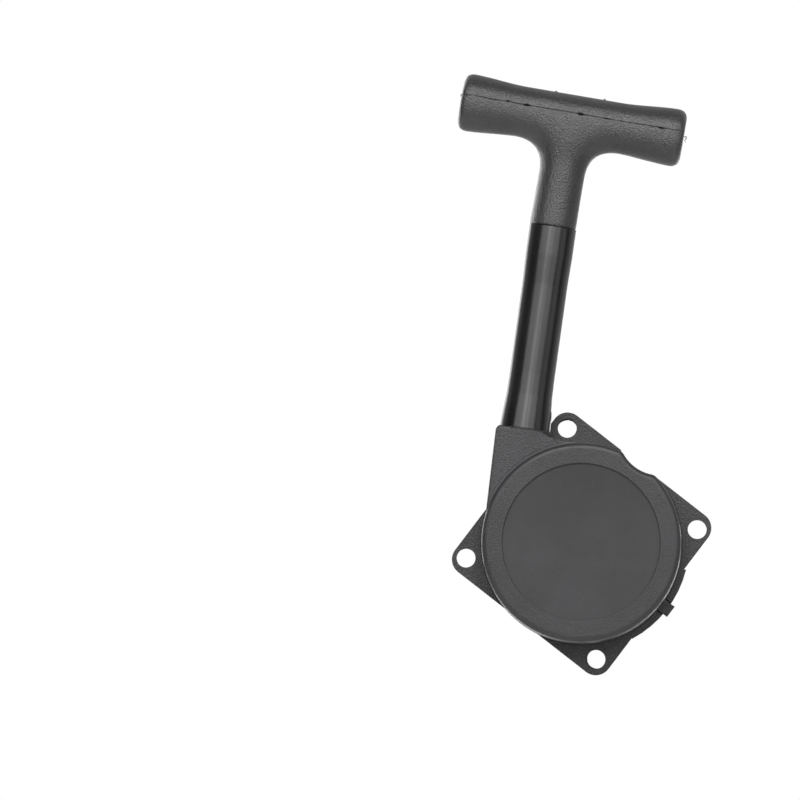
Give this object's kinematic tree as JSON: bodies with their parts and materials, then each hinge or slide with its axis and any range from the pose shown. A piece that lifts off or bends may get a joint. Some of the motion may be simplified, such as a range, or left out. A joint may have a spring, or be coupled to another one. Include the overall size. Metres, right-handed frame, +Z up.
{
  "type": "recoil starter",
  "caption": "Hand recoil starter: round case on a square four-hole flange, sprung rope reel with a hex drive socket, long rope guide tube and T-handle.",
  "frame": {"origin": "centre of the four flange bolt holes on the mounting face", "axes": "+Y out of the mounting face towards the engine, along the reel's axis; +Z up along the guide tube towards the handle; +X to the right seen from the closed front of the case"},
  "size_m": [0.101, 0.0274, 0.1894],
  "materials": {
    "case_plastic": "moulded nylon, satin matte",
    "case_plastic_plate": "moulded nylon, satin matte",
    "tube_plastic": "smooth moulded nylon, semi-gloss",
    "reel_plastic": "moulded nylon, satin",
    "hub_plastic": "moulded nylon, satin",
    "bush_plastic": "moulded nylon, satin",
    "spring_steel": "oiled spring strip with a brown temper film",
    "anchor_steel": "plain steel pin",
    "hook_steel": "bright steel strip",
    "rope": "braided nylon cord, black with light grey strands",
    "handle_plastic": "moulded, fine-grained matte",
    "washer_steel": "plain steel"
  },
  "bodies": {
    "case": {"housing": "case_plastic", "guide_tube": "tube_plastic", "retainer_plate": "case_plastic_plate", "recoil_spring": "spring_steel", "spring_anchor": "anchor_steel"},
    "reel": {"reel": "reel_plastic", "drive_hub": "hub_plastic", "hub_bush": "bush_plastic", "spring_hook": "hook_steel", "rope_wound": "rope", "reel_knot": "rope"},
    "handle": {"handle_body": "handle_plastic", "handle_cap": "handle_plastic", "handle_washer": "washer_steel", "handle_knot": "rope", "rope_lead": "rope"}
  },
  "joints": [
    {"name": "reel_spin", "type": "hinge", "parent": "case", "child": "reel", "pos_m": [0, 0, 0], "axis": [0, 1, 0], "range_deg": [0, 1100], "stiffness_Nm_per_rad": 0.006, "springref_deg": -343.77},
    {"name": "handle_pull", "type": "slide", "parent": "case", "child": "handle", "axis": [0, 0, 1], "range_m": [0, 0.45], "deforming": ["rope_lead"]}
  ],
  "couplings": [
    {"joint": "reel_spin", "follows": "handle_pull", "rad_per_m": 42.373}
  ]
}
